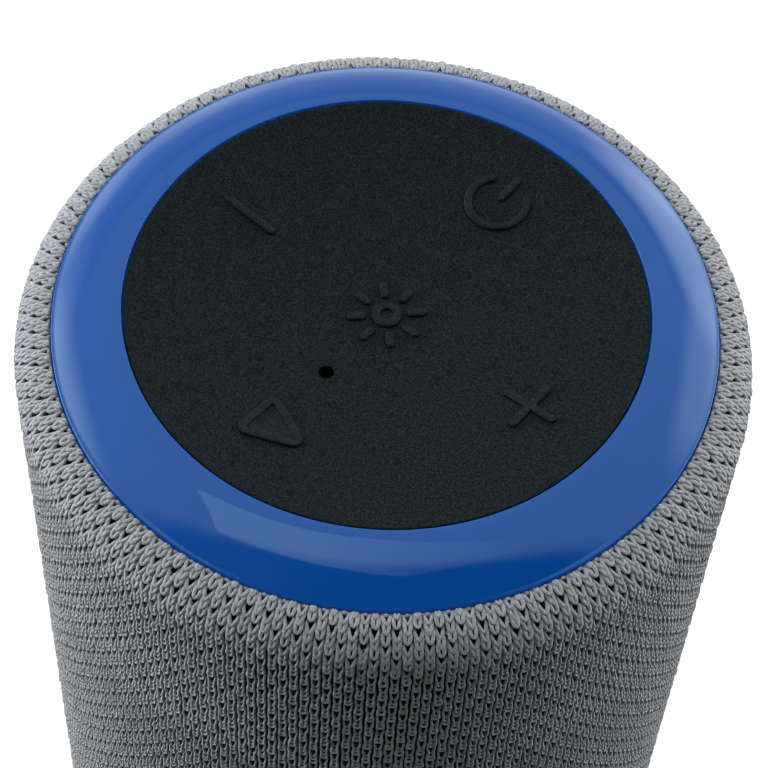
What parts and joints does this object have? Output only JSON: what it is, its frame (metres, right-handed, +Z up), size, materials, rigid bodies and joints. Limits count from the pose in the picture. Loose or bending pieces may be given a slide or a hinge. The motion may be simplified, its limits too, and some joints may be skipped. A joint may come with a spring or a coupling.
{
  "type": "smart speaker",
  "caption": "Portable cylindrical smart speaker: knitted grey sleeve, glossy blue light ring and a dished rubber button pad with sprung keys on top.",
  "frame": {"origin": "centre of the rubber foot's bottom face, on the speaker's axis", "axes": "+Z up along the speaker's axis; the pad's symbols read upright from the -Y side (front); the charging socket is on the +Y side (rear); volume up is towards +X"},
  "size_m": [0.095, 0.095, 0.175],
  "materials": {
    "knit_fabric": "open knit, matt, mid grey",
    "blue_diffuser": "glossy, slightly translucent deep blue",
    "pad_rubber": "matt charcoal silicone with a fine grain",
    "black_plastic": "fine textured black",
    "soft_rubber": "matt black",
    "bright_metal": "plated, satin",
    "motor_steel": "zinc plated",
    "magnet": "dull ferrite",
    "basket_metal": "painted dark grey",
    "cone_paper": "pressed paper",
    "radiator_plate": "weighted plate, matt",
    "coil_copper": "enamelled winding",
    "circuit_board": "solder mask",
    "battery_wrap": "shrink wrapped cell",
    "switch_body": "stamped cover",
    "switch_plunger": "black"
  },
  "bodies": {
    "housing": {"acoustic_reflector": "black_plastic", "base_housing": "black_plastic", "base_screw_1": "bright_metal", "base_screw_2": "bright_metal", "base_screw_3": "bright_metal", "battery_cell_1": "battery_wrap", "battery_cell_2": "battery_wrap", "battery_tray": "black_plastic", "button_board": "circuit_board", "button_pad": "pad_rubber", "charge_board": "circuit_board", "deck_screw_1": "bright_metal", "deck_screw_2": "bright_metal", "deck_screw_3": "bright_metal", "enclosure_lid": "black_plastic", "enclosure_tub": "black_plastic", "fabric_sleeve": "knit_fabric", "grille_tube": "black_plastic", "keypad_plate": "black_plastic", "led_ring_board": "circuit_board", "lid_gasket": "soft_rubber", "light_ring_diffuser": "blue_diffuser", "light_switch": "switch_body", "main_board": "circuit_board", "microphone": "bright_metal", "microphone_boot": "soft_rubber", "passive_radiator_frame": "basket_metal", "passive_radiator_surround": "soft_rubber", "play_switch": "switch_body", "power_lead": "soft_rubber", "power_switch": "switch_body", "rubber_foot": "soft_rubber", "top_housing": "black_plastic", "usb_c_port": "bright_metal", "volume_down_switch": "switch_body", "volume_up_switch": "switch_body", "woofer_basket": "basket_metal", "woofer_magnet": "magnet", "woofer_screw_1": "bright_metal", "woofer_screw_2": "bright_metal", "woofer_screw_3": "bright_metal", "woofer_spider": "cone_paper", "woofer_surround": "soft_rubber", "woofer_top_plate": "motor_steel", "woofer_yoke": "motor_steel"},
    "power_button": {"power_key": "pad_rubber", "power_switch_plunger": "switch_plunger"},
    "volume_down_button": {"volume_down_key": "pad_rubber", "volume_down_switch_plunger": "switch_plunger"},
    "volume_up_button": {"volume_up_key": "pad_rubber", "volume_up_switch_plunger": "switch_plunger"},
    "play_button": {"play_key": "pad_rubber", "play_switch_plunger": "switch_plunger"},
    "light_button": {"light_key": "pad_rubber", "light_switch_plunger": "switch_plunger"},
    "woofer_moving_assembly": {"woofer_cone": "cone_paper", "dust_cap": "cone_paper", "voice_coil": "coil_copper"},
    "passive_radiator_moving_assembly": {"passive_radiator_cone": "radiator_plate"}
  },
  "joints": [
    {"name": "power_press", "type": "slide", "parent": "housing", "child": "power_button", "axis": [0, 0, -1], "range_m": [0, 0.0004], "stiffness_N_per_m": 900},
    {"name": "volume_down_press", "type": "slide", "parent": "housing", "child": "volume_down_button", "axis": [0, 0, -1], "range_m": [0, 0.0004], "stiffness_N_per_m": 900},
    {"name": "volume_up_press", "type": "slide", "parent": "housing", "child": "volume_up_button", "axis": [0, 0, -1], "range_m": [0, 0.0004], "stiffness_N_per_m": 900},
    {"name": "play_press", "type": "slide", "parent": "housing", "child": "play_button", "axis": [0, 0, -1], "range_m": [0, 0.0004], "stiffness_N_per_m": 900},
    {"name": "light_press", "type": "slide", "parent": "housing", "child": "light_button", "axis": [0, 0, -1], "range_m": [0, 0.0004], "stiffness_N_per_m": 900},
    {"name": "woofer_excursion", "type": "slide", "parent": "housing", "child": "woofer_moving_assembly", "axis": [0, 0, -1], "range_m": [-0.003, 0.003], "stiffness_N_per_m": 1500, "deforming": ["woofer_surround", "woofer_spider"]},
    {"name": "passive_radiator_excursion", "type": "slide", "parent": "housing", "child": "passive_radiator_moving_assembly", "axis": [0, 0, 1], "range_m": [-0.003, 0.003], "stiffness_N_per_m": 1500, "deforming": ["passive_radiator_surround"]}
  ]
}
